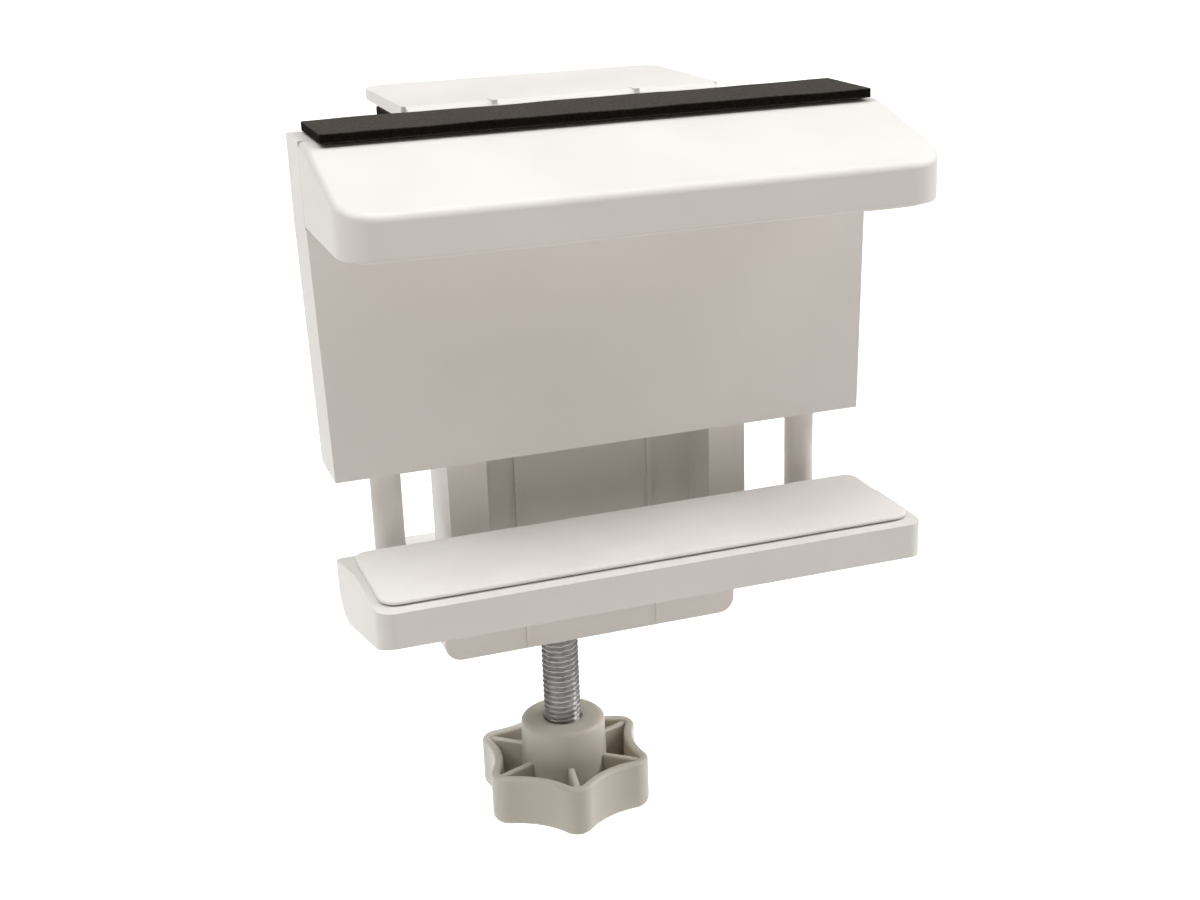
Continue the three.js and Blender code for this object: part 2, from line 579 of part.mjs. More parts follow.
function clampScrew() {
  return turned([
    [0, SCREW_FOOT], [SCREW_RADIUS, SCREW_FOOT], [SCREW_RADIUS, SCREW_END - 1], [SCREW_RADIUS - 1, SCREW_END],
    [NECK_RADIUS, SCREW_END], [NECK_RADIUS, NECK_TOP], [BALL_RADIUS, NECK_TOP + 0.6],
    [BALL_RADIUS, BALL_TOP - 1], [2.6, BALL_TOP], [0, BALL_TOP],
  ], 0, SCREW_Y, 32);
}

// A cup that snaps over the end of the screw, under a round plate.
function pressureFoot() {
  const neck = NECK_RADIUS + GAP;
  const socket = BALL_RADIUS + GAP;
  const bottom = SCREW_END + GAP;
  const plateBottom = FOOT_TOP - 3;
  return turned([
    [neck, bottom], [7, bottom], [8.5, bottom + 2], [8.5, plateBottom], [FOOT_RADIUS, plateBottom + 0.8],
    [FOOT_RADIUS, FOOT_TOP], [0, FOOT_TOP], [0, BALL_TOP + GAP], [socket, BALL_TOP + GAP],
    [socket, NECK_TOP - GAP], [neck, NECK_TOP - GAP], [neck, bottom],
  ], 0, SCREW_Y, 32);
}

// The knob's outline: six round tips, joined by wide hollow arcs that meet them without a corner.
function knobOutline(inset) {
  const step = (2 * Math.PI) / KNOB_LOBES;
  const tipCentre = KNOB_TIP_RADIUS - KNOB_TIP_ROUND;
  // The hollow arc's centre distance d follows from |tip centre - hollow centre| = both radii together.
  const reach = KNOB_WAIST_RADIUS - KNOB_TIP_ROUND;
  const d = (tipCentre ** 2 - reach ** 2) / (2 * (tipCentre * Math.cos(step / 2) - reach));
  const hollow = d - KNOB_WAIST_RADIUS;
  const shape = new THREE.Shape();
  for (let lobe = 0; lobe < KNOB_LOBES; lobe += 1) {
    const angle = THREE.MathUtils.degToRad(KNOB_TURN) + lobe * step;
    const tip = new THREE.Vector2(Math.cos(angle), Math.sin(angle)).multiplyScalar(tipCentre);
    const next = angle + step / 2;
    const waist = new THREE.Vector2(Math.cos(next), Math.sin(next)).multiplyScalar(d);
    const meet = waist.clone().sub(tip).angle();
    const half = meet - angle;
    const mirrored = angle + step - half;
    shape.absarc(tip.x, tip.y, KNOB_TIP_ROUND - inset, angle - half, meet);
    shape.absarc(waist.x, waist.y, hollow + inset, meet + Math.PI, mirrored + Math.PI, true);
  }
  return shape;
}

function starKnob() {
  const floorTop = KNOB_BOTTOM + KNOB_FLOOR;
  let knob = cut(alongZ(knobOutline(0), KNOB_BOTTOM, KNOB_RIM_TOP),
    alongZ(knobOutline(KNOB_WALL), floorTop, KNOB_RIM_TOP + 1));
  const web = box([-KNOB_TIP_RADIUS + 1, KNOB_TIP_RADIUS - 1], [-KNOB_RIB / 2, KNOB_RIB / 2],
    [floorTop - 1, KNOB_RIM_TOP - 0.4]);
  for (let rib = 0; rib < KNOB_LOBES / 2; rib += 1) {
    knob = join(knob, web.rotate([0, 0, KNOB_TURN + rib * (360 / KNOB_LOBES)]));
  }
  const hub = turned([
    [0, KNOB_BOTTOM], [HUB_RADIUS, KNOB_BOTTOM], [HUB_RADIUS, HUB_TOP - 3], [HUB_RADIUS - 0.9, HUB_TOP - 0.9],
    [HUB_RADIUS - 3, HUB_TOP], [0, HUB_TOP],
  ], 0, 0, 32);
  return cut(join(knob, hub), rod(SCREW_RADIUS + GAP, SCREW_FOOT - GAP, HUB_TOP + 1, 0, 0, 32))
    .translate([0, SCREW_Y, 0]);
}

add('clamp_screw', clampScrew(), zincSteel);
add('star_knob', starKnob(), ivoryPlastic);
add('pressure_foot', pressureFoot(), ivoryPlastic);
add('foot_pad', rod(FOOT_RADIUS - 1, FOOT_TOP + GAP, FOOT_TOP + GAP + 2, 0, SCREW_Y, 32), darkRubber);

export default holder;
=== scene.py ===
# %% [markdown]
# # A clamp-on holder for the edge of a desk
#
# The real object hangs on a desk edge. A C-shaped frame grips the desk with a star-knob screw. In front of
# the edge hangs a flat body with a fixed upper jaw, and a padded lower jaw slides under it on two rods.
#
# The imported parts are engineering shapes: right in size and place, but with sharp edges. This lesson keeps
# their places and gives them the softness of moulded plastic, foam and rolled thread.

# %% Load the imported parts
import json
import math

import bmesh
import bpy
import numpy as np
from mathutils import Matrix, Vector

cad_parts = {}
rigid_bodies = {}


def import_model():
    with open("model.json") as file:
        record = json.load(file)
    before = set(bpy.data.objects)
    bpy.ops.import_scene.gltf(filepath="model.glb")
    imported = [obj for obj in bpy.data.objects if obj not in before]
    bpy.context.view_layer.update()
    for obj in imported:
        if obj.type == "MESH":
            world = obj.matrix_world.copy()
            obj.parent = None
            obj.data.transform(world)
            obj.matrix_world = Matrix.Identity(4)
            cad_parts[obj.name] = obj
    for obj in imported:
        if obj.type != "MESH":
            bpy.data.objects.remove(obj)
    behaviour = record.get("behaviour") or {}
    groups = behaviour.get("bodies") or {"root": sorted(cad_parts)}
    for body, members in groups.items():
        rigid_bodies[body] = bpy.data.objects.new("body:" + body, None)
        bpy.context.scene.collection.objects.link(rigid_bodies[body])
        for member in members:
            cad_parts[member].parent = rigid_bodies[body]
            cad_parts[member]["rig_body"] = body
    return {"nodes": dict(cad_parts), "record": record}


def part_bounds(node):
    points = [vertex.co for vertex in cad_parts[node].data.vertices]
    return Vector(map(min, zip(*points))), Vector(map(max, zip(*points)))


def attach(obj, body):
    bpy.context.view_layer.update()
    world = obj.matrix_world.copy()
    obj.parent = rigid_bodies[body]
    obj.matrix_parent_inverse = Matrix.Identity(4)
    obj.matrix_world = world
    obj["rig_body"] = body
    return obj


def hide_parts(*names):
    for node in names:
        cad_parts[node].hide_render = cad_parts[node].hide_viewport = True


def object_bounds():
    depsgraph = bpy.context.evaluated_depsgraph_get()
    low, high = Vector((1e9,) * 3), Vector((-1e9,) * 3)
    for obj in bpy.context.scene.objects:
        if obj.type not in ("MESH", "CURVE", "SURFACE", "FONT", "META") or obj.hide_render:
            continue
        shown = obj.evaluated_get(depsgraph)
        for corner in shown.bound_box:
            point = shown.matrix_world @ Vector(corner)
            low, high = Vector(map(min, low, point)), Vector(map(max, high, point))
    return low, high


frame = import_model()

cad_bounds = [list(map(float, corner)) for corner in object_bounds()]

# %% [markdown]
# Blender works in metres, and a maker thinks of a part this small in millimetres. So shapes are worked out
# in millimetres and scaled once, when they become a mesh. Every place comes from the boxes of the packed
# parts, so a new piece lands where its part was.

# %% Millimetres and boxes
MM = 0.001


def part_box(name):
    """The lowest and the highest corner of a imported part, as two arrays in millimetres."""
    low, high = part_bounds(name)
    return np.array(low) / MM, np.array(high) / MM


object_low, object_high = (np.array(corner) / MM for corner in cad_bounds)
print("size in mm:", np.round(object_high - object_low, 1))

# %% [markdown]
# ## Camera, floor and light
#
# The camera stands to the left of the holder and a little above it, with a slight tilt of its own. Three
# turns say all of that. Azimuth walks round the object, elevation climbs, and roll tips the picture.

# %% Camera
CAMERA_AT = Vector((-0.1209, -0.3874, 0.0560))
AZIMUTH, ELEVATION, ROLL = (math.radians(angle) for angle in (-18.81, 19.33, -2.02))
LENS = 50.77

back = Vector((math.sin(AZIMUTH) * math.cos(ELEVATION), -math.cos(AZIMUTH) * math.cos(ELEVATION),
               math.sin(ELEVATION)))
level_right = Vector((math.cos(AZIMUTH), math.sin(AZIMUTH), 0))
level_up = back.cross(level_right)
right = math.cos(ROLL) * level_right + math.sin(ROLL) * level_up
up = math.cos(ROLL) * level_up - math.sin(ROLL) * level_right

camera = bpy.data.objects.new("camera", bpy.data.cameras.new("camera"))
camera.data.lens = LENS
camera.data.clip_start = 0.01
camera.matrix_world = Matrix.Translation(CAMERA_AT) @ Matrix((right, up, back)).transposed().to_4x4()
bpy.context.scene.collection.objects.link(camera)
bpy.context.scene.camera = camera
print("camera looks along", [round(-x, 3) for x in back])

# %% [markdown]
# ### Light
#
# The holder is white on white, so only the light tells its faces apart. A wide soft sun overhead turns every
# upward face almost pure white, and two weaker ones light the ends and reach in between the jaws. The front
# has no lamp. It sees only a glow from a white table and the horizon, which leaves it a warm, even grey. The
# glow is a colour ramp on the sky: it fades with height, and height is the Z of the direction looked in.

# %% Sky and suns
TABLE_GLOW, HORIZON_GLOW, UPPER_SKY = (0.70, 0.665, 0.64), (0.31, 0.295, 0.28), (0.16, 0.155, 0.15)
HORIZON_END, SKY_START = 0.15, 0.35

world = bpy.data.worlds.new("studio")
bpy.context.scene.world = world
world.use_nodes = True
sky = world.node_tree
direction = sky.nodes.new("ShaderNodeTexCoord").outputs["Generated"]
climb = sky.nodes.new("ShaderNodeSeparateXYZ")
ramp = sky.nodes.new("ShaderNodeValToRGB")
sky.links.new(direction, climb.inputs["Vector"])
sky.links.new(climb.outputs["Z"], ramp.inputs["Fac"])
ramp.color_ramp.elements.new(HORIZON_END)
for stop, (place, colour) in zip(ramp.color_ramp.elements, (
    (0.0, TABLE_GLOW), (HORIZON_END, HORIZON_GLOW), (SKY_START, UPPER_SKY),
)):
    stop.position, stop.color = place, (*colour, 1)
sky.links.new(ramp.outputs["Color"], sky.nodes["Background"].inputs["Color"])


def sun(name, towards, strength, spread, colour=(1, 1, 1)):
    """A soft sun: towards points from the object to it, and spread is its width in degrees."""
    light = bpy.data.lights.new(name, "SUN")
    light.energy, light.angle, light.color = strength, math.radians(spread), colour
    holder = bpy.data.objects.new(name, light)
    holder.rotation_euler = Vector(towards).to_track_quat("Z", "Y").to_euler()
    bpy.context.scene.collection.objects.link(holder)


sun("overhead", (-0.05, 0.02, 1), 1.55, 50)
sun("left_side", (-1, -0.12, 1.25), 1.05, 35, (0.95, 1.0, 1.0))
sun("right_side", (1, -0.12, 0.75), 1.75, 40)
bpy.context.scene.view_settings.view_transform = "Standard"

# %% [markdown]
# ## From arrays to meshes
#
# Most pieces here are skins. A skin is a grid of points, and each face joins four neighbours. The grid is one
# numpy array, so a whole surface is worked out in a few lines. One helper turns grids into a mesh, merges
# points that meet at a pole or a fold, and makes the faces look outwards.

# %% Skins
SHARP = math.radians(38)


def skin(name, *grids):
    """A mesh object from grids of points, each (rows, columns, xyz) in millimetres. A face joins four
    neighbours, and the last column joins the first. Points closer than a micrometre become one."""
    points, faces, start = [], [], 0
    for grid in grids:
        rows, columns = grid.shape[:2]
        number = start + np.arange(rows * columns).reshape(rows, columns)
        number = np.concatenate([number, number[:, :1]], axis=1)
        corners = [number[:-1, :-1], number[:-1, 1:], number[1:, 1:], number[1:, :-1]]
        faces.append(np.stack(corners, axis=-1).reshape(-1, 4))
        points.append(grid.reshape(-1, 3) * MM)
        start += rows * columns
    return solid(name, np.concatenate(points), np.concatenate(faces))


def solid(name, points, faces, flat=None):
    """A mesh object from points in metres and faces. Doubles are merged, then the normals are made to
    point outwards. flat, an angle, also joins neighbours that lie in one plane to within it."""
    mesh = bpy.data.meshes.new(name)
    mesh.from_pydata(points.tolist(), [], faces.tolist())
    shape = bmesh.new()
    shape.from_mesh(mesh)
    bmesh.ops.remove_doubles(shape, verts=shape.verts, dist=1e-6)
    bmesh.ops.dissolve_degenerate(shape, edges=shape.edges, dist=1e-7)
    if flat is not None:
        bmesh.ops.dissolve_limit(shape, angle_limit=flat, verts=shape.verts, edges=shape.edges)
    bmesh.ops.recalc_face_normals(shape, faces=shape.faces)
    shape.to_mesh(mesh)
    shape.free()
    mesh.shade_smooth()
    mesh.set_sharp_from_angle(angle=SHARP)
    piece = bpy.data.objects.new(name, mesh)
    bpy.context.scene.collection.objects.link(piece)
    return piece


print("edges sharper than", round(math.degrees(SHARP)), "degrees stay sharp")

# %% [markdown]
# ### Softened edges
#
# No moulded edge is truly sharp: the mould's own corner has a radius, and light catches on it as a thin
# bright line. That line is what makes plastic look real. Parts whose shape is already right are copied from
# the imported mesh, and a Bevel modifier rounds their edges. A Weighted Normal modifier keeps flat faces flat.

# %% Copies with rounded edges
BEVEL_ABOVE, ONE_PLANE = math.radians(50), math.radians(0.5)


def even_shading(piece):
    """Lets large faces decide the shading where they meet small ones."""
    piece.modifiers.new("even shading", "WEIGHTED_NORMAL").keep_sharp = True


def softened(name, part, radius, steps=3):
    """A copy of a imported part, its edges rounded to a radius in millimetres where its faces meet at
    more than 50 degrees."""
    mesh = frame["nodes"][part].data
    points = np.empty(len(mesh.vertices) * 3)
    corners = np.empty(len(mesh.loops), int)
    mesh.vertices.foreach_get("co", points)
    mesh.loops.foreach_get("vertex_index", corners)
    piece = solid(name, points.reshape(-1, 3), corners.reshape(-1, 3), flat=ONE_PLANE)
    bevel = piece.modifiers.new("moulded edges", "BEVEL")
    bevel.width = radius * MM
    bevel.segments = steps
    bevel.limit_method = "ANGLE"
    bevel.angle_limit = BEVEL_ABOVE
    even_shading(piece)
    return piece


print("the packed clamp frame has", len(frame["nodes"]["clamp_frame"].data.vertices), "points")

# %% [markdown]
# ## Finishes
#
# Every finish is made of nodes that read Object coordinates, so a pattern keeps its real size in metres and
# does not slide when a piece moves. A helper sets up the shader, and two more add noise and relief.

# %% Helpers for finishes
class Finish:
    """A node material: the shader, the point on the piece, and short ways to add noise and relief."""

    def __init__(self, name, roughness, metallic=0.0, specular=0.5):
        self.material = bpy.data.materials.new(name)
        self.material.use_nodes = True
        self.tree = self.material.node_tree
        self.shader = self.tree.nodes["Principled BSDF"]
        self.shader.inputs["Roughness"].default_value = roughness
        self.shader.inputs["Metallic"].default_value = metallic
        self.shader.inputs["Specular IOR Level"].default_value = specular
        self.place = self.node("ShaderNodeTexCoord").outputs["Object"]

    def node(self, kind, **inputs):
        """A node with some of its inputs set. An output socket is linked, and a number is stored."""
        made = self.tree.nodes.new(kind)
        for key, value in inputs.items():
            self.feed(made.inputs[key.replace("_", " ")], value)
        return made

    def feed(self, socket, value):
        """Links an output to a socket, or stores a value in it."""
        if isinstance(value, bpy.types.NodeSocket):
            self.tree.links.new(value, socket)
        else:
            socket.default_value = value

    def noise(self, size, detail=3.0, stretch=(1, 1, 1)):
        """Cloudy noise from 0 to 1 whose blobs are about size millimetres across, shortened by stretch."""
        near = self.node("ShaderNodeMapping", Vector=self.place, Scale=stretch).outputs["Vector"]
        per_metre = 1 / (size * MM)
        return self.node("ShaderNodeTexNoise", Vector=near, Scale=per_metre, Detail=detail).outputs["Fac"]

    def blend(self, share, *stops):
        """A colour ramp: each stop is a place from 0 to 1 and a colour, with smooth change between them."""
        ramp = self.node("ShaderNodeValToRGB", Fac=share)
        points = ramp.color_ramp.elements
        while len(points) < len(stops):
            points.new(0.5)
        for point, (place, colour) in zip(points, stops):
            point.position, point.color = place, (*colour, 1)
        return ramp.outputs["Color"]

    def span(self, share, low, high):
        """Carries a share from 0.3-0.7, where noise mostly lies, to low-high."""
        return self.node("ShaderNodeMapRange", Value=share, From_Min=0.3, From_Max=0.7, To_Min=low,
                         To_Max=high).outputs["Result"]

    def relief(self, height, depth, below=None):
        """Bumps as deep as depth millimetres where height goes from 0 to 1, on top of another relief."""
        bump = self.node("ShaderNodeBump", Height=height, Distance=depth * MM, Strength=1.0)
        if below is not None:
            self.feed(bump.inputs["Normal"], below)
        return bump.outputs["Normal"]

    def set(self, **inputs):
        """Feeds the shader's own sockets."""
        for key, value in inputs.items():
            self.feed(self.shader.inputs[key.replace("_", " ")], value)
        return self


# %% [markdown]
# ### Moulded plastic
#
# The shells are white ABS. Its mould is spark-eroded, which leaves a grain of about a quarter of a
# millimetre. Over centimetres, the flow of the melt leaves slow, faint changes in tone and gloss. The
# knob and the small hard parts are a tougher nylon, a shade yellower and glossier. Nylon is a little
# translucent, so light that enters a wall spreads a few millimetres and fills the shade inside the knob.

# %% White and ivory plastic
FLOW, RIPPLE, GRAIN, RIPPLE_DEPTH = 28, 9, 0.3, 0.03


def moulded(name, dark, light, gloss, grain_depth):
    """Plastic between two tones: slow noise picks the tone and the gloss, and fine noise the grain."""
    finish = Finish(name, roughness=0.45)
    flow = finish.noise(FLOW, detail=2)
    grain = finish.noise(GRAIN, detail=2)
    ripple = finish.noise(RIPPLE, detail=1)
    return finish.set(
        Base_Color=finish.blend(flow, (0.32, dark), (0.68, light)),
        Roughness=finish.span(flow, *gloss),
        Normal=finish.relief(grain, grain_depth, finish.relief(ripple, RIPPLE_DEPTH)),
    )


white = moulded("white_abs", (0.825, 0.79, 0.75), (0.85, 0.82, 0.785), gloss=(0.38, 0.5), grain_depth=0.006)
ivory = moulded("ivory_nylon", (0.59, 0.555, 0.485), (0.64, 0.605, 0.535), gloss=(0.32, 0.44),
                grain_depth=0.004)
ivory.set(Subsurface_Weight=0.4, Subsurface_Scale=4 * MM, Subsurface_Radius=(1.0, 0.9, 0.75))
print("plastics:", white.material.name, ivory.material.name)

# %% [markdown]
# ### Pads, foam and rubber
#
# The jaw pads are thin sheets of pale soft rubber with a matt skin. The black strip on top and the pad under
# the flange are cellular rubber. Voronoi cells, each a dent with its deepest point in the middle, stand for
# its cut cells. The sides of such a sheet carry painted shade: a far darker copy of the skin's colour, so that
# they look shaded. So the tone follows the normal: how far the surface faces up or down.

# %% Pale rubber, black foam and dark rubber
pale = Finish("pale_rubber", roughness=0.7, specular=0.35)
pale.set(
    Base_Color=pale.blend(pale.noise(14, detail=2), (0.3, (0.87, 0.83, 0.805)), (0.7, (0.90, 0.87, 0.845))),
    Normal=pale.relief(pale.noise(0.5, detail=4), 0.02, pale.relief(pale.noise(12, detail=1), 0.06)),
)

CELL, CELL_DEPTH = 0.7, 0.12
foam = Finish("black_foam", roughness=0.97, specular=0.08)
pits = foam.node("ShaderNodeTexVoronoi", Vector=foam.place, Scale=1 / (CELL * MM)).outputs["Distance"]
speckle = foam.noise(0.9, detail=5)
skin_colour = foam.blend(speckle, (0.3, (0.048, 0.041, 0.034)), (0.72, (0.080, 0.069, 0.058)))
# Painted shade: the sides take a far darker copy of the skin colour, and the normal below picks it for faces
# that look sideways.
painted_shade_side_colour = foam.blend(speckle, (0.3, (0.003, 0.0027, 0.0023)), (0.72, (0.009, 0.008, 0.007)))
across_sheet = foam.node("ShaderNodeSeparateXYZ", Vector=foam.node("ShaderNodeNewGeometry").outputs["Normal"])
facing = foam.node("ShaderNodeMath", Value=across_sheet.outputs["Z"])
facing.operation = "ABSOLUTE"
tone = foam.node("ShaderNodeMixRGB", Fac=facing.outputs["Value"], Color1=painted_shade_side_colour, Color2=skin_colour)
foam.set(
    Base_Color=tone.outputs["Color"],
    Normal=foam.relief(pits, CELL_DEPTH, foam.relief(foam.noise(6, detail=2), 0.15)),
)

dark = Finish("dark_rubber", roughness=0.75, specular=0.35)
dark.set(
    Base_Color=dark.blend(dark.noise(3), (0.3, (0.018, 0.018, 0.018)), (0.7, (0.032, 0.031, 0.030))),
    Normal=dark.relief(dark.noise(0.4, detail=3), 0.02),
)
print("soft finishes:", pale.material.name, foam.material.name, dark.material.name)

# %% [markdown]
# ### Zinc-plated steel
#
# The screws are steel with a thin zinc layer: a grey metal whose tone and gloss vary in small patches,
# with fine marks round the axis from rolling and turning.

# %% Zinc steel
zinc = Finish("zinc_steel", roughness=0.4, metallic=1.0)
patches = zinc.noise(2.2, detail=4)
marks = zinc.noise(1.2, detail=3, stretch=(1, 1, 9))
zinc.set(
    Base_Color=zinc.blend(patches, (0.3, (0.31, 0.305, 0.30)), (0.7, (0.50, 0.495, 0.485))),
    Roughness=zinc.span(patches, 0.3, 0.48),
    Normal=zinc.relief(marks, 0.008),
)

FINISHES = {"white_plastic": white, "ivory_plastic": ivory, "pale_pad": pale, "black_foam": foam,
            "dark_rubber": dark, "zinc_steel": zinc}
print("finishes:", sorted(FINISHES))

# %% [markdown]
# ### Putting a piece in its place
#
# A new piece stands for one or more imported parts. It hides them, moves with their body, and takes the finish
# that the record gives them. One helper does all three.

# %% Dressing a piece
part_slot = {entry["node"]: entry["material_slot"] for entry in frame["record"]["subparts"]}


def dress(piece, *parts):
    """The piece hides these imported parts, rides on the first one's body and takes its finish."""
    slot = part_slot[parts[0]]
    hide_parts(*parts)
    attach(piece, frame["nodes"][parts[0]]["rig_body"])
    piece.data.materials.clear()
    piece.data.materials.append(FINISHES[slot].material)
    print(f"{piece.name}: {len(piece.data.polygons)} faces, {slot}")
    return piece


# %% [markdown]
# ### Outlines and rounded edges
#
# Seen from above, the upper jaw, the pads and the foam are rectangles with round corners. If such an outline
# shrinks step by step to its own middle line, the steps are rings that cover the whole face. A height for
# each ring turns the rings into a solid. A quarter circle between the wall and the face makes the soft edge.

# %% Rings
def rings(half, front, rear, front_corner, rear_corner, arc=10, across=72, along=36):
    """Outlines seen from above, one for each value given. Each is a rectangle from -half to half and from
    front to rear. A corner is its centre plus radius times (cos a, sin a), and even steps join the
    corners."""
    values = np.broadcast_arrays(*map(np.atleast_1d, (half, front, rear, front_corner, rear_corner)))
    half, front, rear, front_corner, rear_corner = values
    corners = []
    for turn, (side, y, inward, radius) in enumerate([
        (-1, front, 1, front_corner), (1, front, 1, front_corner),
        (1, rear, -1, rear_corner), (-1, rear, -1, rear_corner),
    ]):
        angle = math.pi + (turn + np.linspace(0, 1, arc)) * math.pi / 2
        x = side * (half - radius)[:, None] + radius[:, None] * np.cos(angle)
        y = (y + inward * radius)[:, None] + radius[:, None] * np.sin(angle)
        corners.append(np.stack([x, y], axis=-1))
    outline = []
    for turn, steps in enumerate((across, along, across, along)):
        share = np.linspace(0, 1, steps, endpoint=False)[None, 1:, None]
        start, end = corners[turn][:, -1:], corners[(turn + 1) % 4][:, :1]
        outline += [corners[turn], start + (end - start) * share]
    return np.concatenate(outline, axis=1)


def quarter(radius, steps=6):
    """A rounded edge from the wall to the face: inset radius (1 - cos a), distance to the face
    radius (1 - sin a), with a from 0 to 90 degrees."""
    angle = np.linspace(0, math.pi / 2, steps)
    return radius * (1 - np.cos(angle)), radius * (1 - np.sin(angle))


def with_height(plan, height):
    """Rings of (x, y) with a height for each ring, or for each of its points."""
    return np.concatenate([plan, np.broadcast_to(height, plan.shape[:2])[..., None]], axis=-1)


print("a ring has", rings(10, 0, 10, 1, 1).shape[1], "points")

# %% [markdown]
# ## Upper jaw
#
# The fixed jaw is a moulded cover screwed to the front of the body. Its top slopes down to a lip 9 mm high,
# and its front corners are round. The rings keep their rear edge where it is, because the jaw meets the body
# there. Their height follows the slope, and a soft bend carries the slope into the flat top.

# %% The upper jaw's skin
LIP_HEIGHT, CREST_FROM_REAR, PLAN_CORNER = 9.0, 6.5, 8.4
TOP_EDGE, UNDER_EDGE, CREST_SOFTNESS = 1.5, 0.7, 1.2
TOP_ROWS, UNDER_ROWS = 28, 16

low, high = part_box("upper_jaw")
crest = high[1] - CREST_FROM_REAR
slope = (high[2] - low[2] - LIP_HEIGHT) / (crest - low[1])


def jaw_top(y):
    """Height of the jaw's top: level behind the crest, and falling evenly in front of it. A soft bend,
    the logarithm of 1 + e^x, joins the two."""
    return high[2] - slope * CREST_SOFTNESS * np.logaddexp(0, (crest - y) / CREST_SOFTNESS)


depth = high[1] - low[1]
top_in, top_down = quarter(TOP_EDGE, 8)
under_in, under_up = quarter(UNDER_EDGE)
under_face = np.linspace(depth, UNDER_EDGE, UNDER_ROWS, endpoint=False)
top_face = np.linspace(depth, TOP_EDGE, TOP_ROWS, endpoint=False)[::-1]
inset = np.concatenate([under_face, under_in[::-1], top_in, top_face])
plan = rings(high[0] - inset, low[1] + inset, high[1] + 0 * inset, np.maximum(PLAN_CORNER - inset, 0), 0)
under_rows = len(under_face) + len(under_in)
under = np.concatenate([0 * under_face, under_up[::-1]])[:, None] + low[2]
over = jaw_top(plan[under_rows:, :, 1]) - np.concatenate([top_down, 0 * top_face])[:, None]
height = np.concatenate([np.broadcast_to(under, (under_rows, plan.shape[1])), over])
upper_jaw = skin("upper_jaw_moulding", with_height(plan, height))
even_shading(upper_jaw)
dress(upper_jaw, "upper_jaw")

# %% [markdown]
# ## Pads, foam strip and desk pad
#
# These are cut from sheet, so their edges are nearly square, and they never lie quite flat. Slow sine waves
# a tenth of a millimetre high lift and lower their free face. All four come from one function.

# %% Soft sheets
def soft_sheet(name, part, front_corner, rear_corner, edge, wave, length, free_side=1):
    """A slab that fills its part's box. Its free side, the top (1) or the underside (-1), sinks by up to
    wave times a product of sine waves of that length along X and Y, in millimetres."""
    low, high = part_box(part)
    edge_in, edge_step = quarter(edge, 4)
    face = np.linspace((high[1] - low[1]) / 2, edge, 9, endpoint=False)
    inset = np.concatenate([face, edge_in[::-1], edge_in, face[::-1]])
    plan = rings(high[0] - inset, low[1] + inset, high[1] - inset, np.maximum(front_corner - inset, 0),
                 np.maximum(rear_corner - inset, 0), arc=8, across=120, along=24)
    step = np.concatenate([0 * face, edge_step[::-1], edge_step, 0 * face])[:, None]
    x, y = plan[..., 0], plan[..., 1]
    sink = wave * (0.5 + 0.3 * np.sin(x / length + 1) * np.cos(y / length) + 0.2 * np.sin(2.3 * x / length))
    below = np.arange(len(inset))[:, None] < len(face) + len(edge_in)
    height = np.where(below, low[2] + step, high[2] - step)
    height = height - sink * (~below if free_side > 0 else -1.0 * below)
    piece = skin(name, with_height(plan, height))
    even_shading(piece)
    dress(piece, part)
    return piece


soft_sheet("upper_jaw_pad_sheet", "upper_jaw_pad", 4, 3, 0.3, 0.25, 7, free_side=-1)
soft_sheet("lower_jaw_pad_sheet", "lower_jaw_pad", 4, 3, 0.5, 0.1, 9)
soft_sheet("foam_strip_tape", "top_foam_strip", 0.4, 0.4, 0.3, 0.2, 8)
soft_sheet("desk_pad_sheet", "desk_pad", 0.4, 0.4, 0.3, 0.15, 8, free_side=-1)

# %% [markdown]
# ## Body, lower jaw and clamp frame
#
# These mouldings have ribs, cells, bosses and screw holes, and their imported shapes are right. They are copied
# and get the radius of their mould: larger on the outside shells, smaller on the frame's ribs.

# %% Mouldings with softened edges
for name, part, radius in [
    ("body_moulding", "body_shell", 0.6),
    ("lower_jaw_moulding", "lower_jaw", 0.7),
    ("clamp_frame_moulding", "clamp_frame", 0.45),
    ("rear_cover_left_panel", "rear_cover_left", 0.4),
    ("rear_cover_right_panel", "rear_cover_right", 0.4),
    ("nut_cover_plate", "nut_plate", 0.3),
]:
    dress(softened(name, part, radius), part)

# %% [markdown]
# ## Turned pieces
#
# Rods, the pressure foot and its pad are round. Each is a profile of radii and heights, carried round an
# upright axis. Points in the profile that lie close together make the rounded edges. The two guide rods have
# a blind hole for a screw in each end.

# %% Turned pieces and the guide rods
def turned(name, part, profile, columns=64):
    """A profile of (radius, height) carried round its part's axis: point = axis + radius (cos a, sin a).
    Heights count from the part's lowest point."""
    low, high = part_box(part)
    radius, height = np.array(profile, float).T[:, :, None]
    angle = np.linspace(0, 2 * math.pi, columns, endpoint=False)[None]
    x = (low[0] + high[0]) / 2 + radius * np.cos(angle)
    y = (low[1] + high[1]) / 2 + radius * np.sin(angle)
    piece = skin(name, np.stack([x, y, low[2] + height + 0 * angle], axis=-1))
    even_shading(piece)
    return dress(piece, part)


def rounded(profile, radius, steps=4):
    """The same profile with each inner corner cut short by radius and bridged by a curve: each point of it
    is a share-weighted blend of the cut's start, the corner twice, and the cut's end."""
    points = np.array(profile, float)
    before, corner, after = points[:-2], points[1:-1], points[2:]
    reach_in = np.minimum(radius / np.maximum(np.linalg.norm(before - corner, axis=1), 1e-9), 0.45)[:, None]
    reach_out = np.minimum(radius / np.maximum(np.linalg.norm(after - corner, axis=1), 1e-9), 0.45)[:, None]
    start = corner + (before - corner) * reach_in
    end = corner + (after - corner) * reach_out
    t = np.linspace(0, 1, steps + 1)[None, :, None]
    bends = (1 - t) ** 2 * start[:, None] + 2 * t * (1 - t) * corner[:, None] + t ** 2 * end[:, None]
    return np.concatenate([points[:1], bends.reshape(-1, 2), points[-1:]])


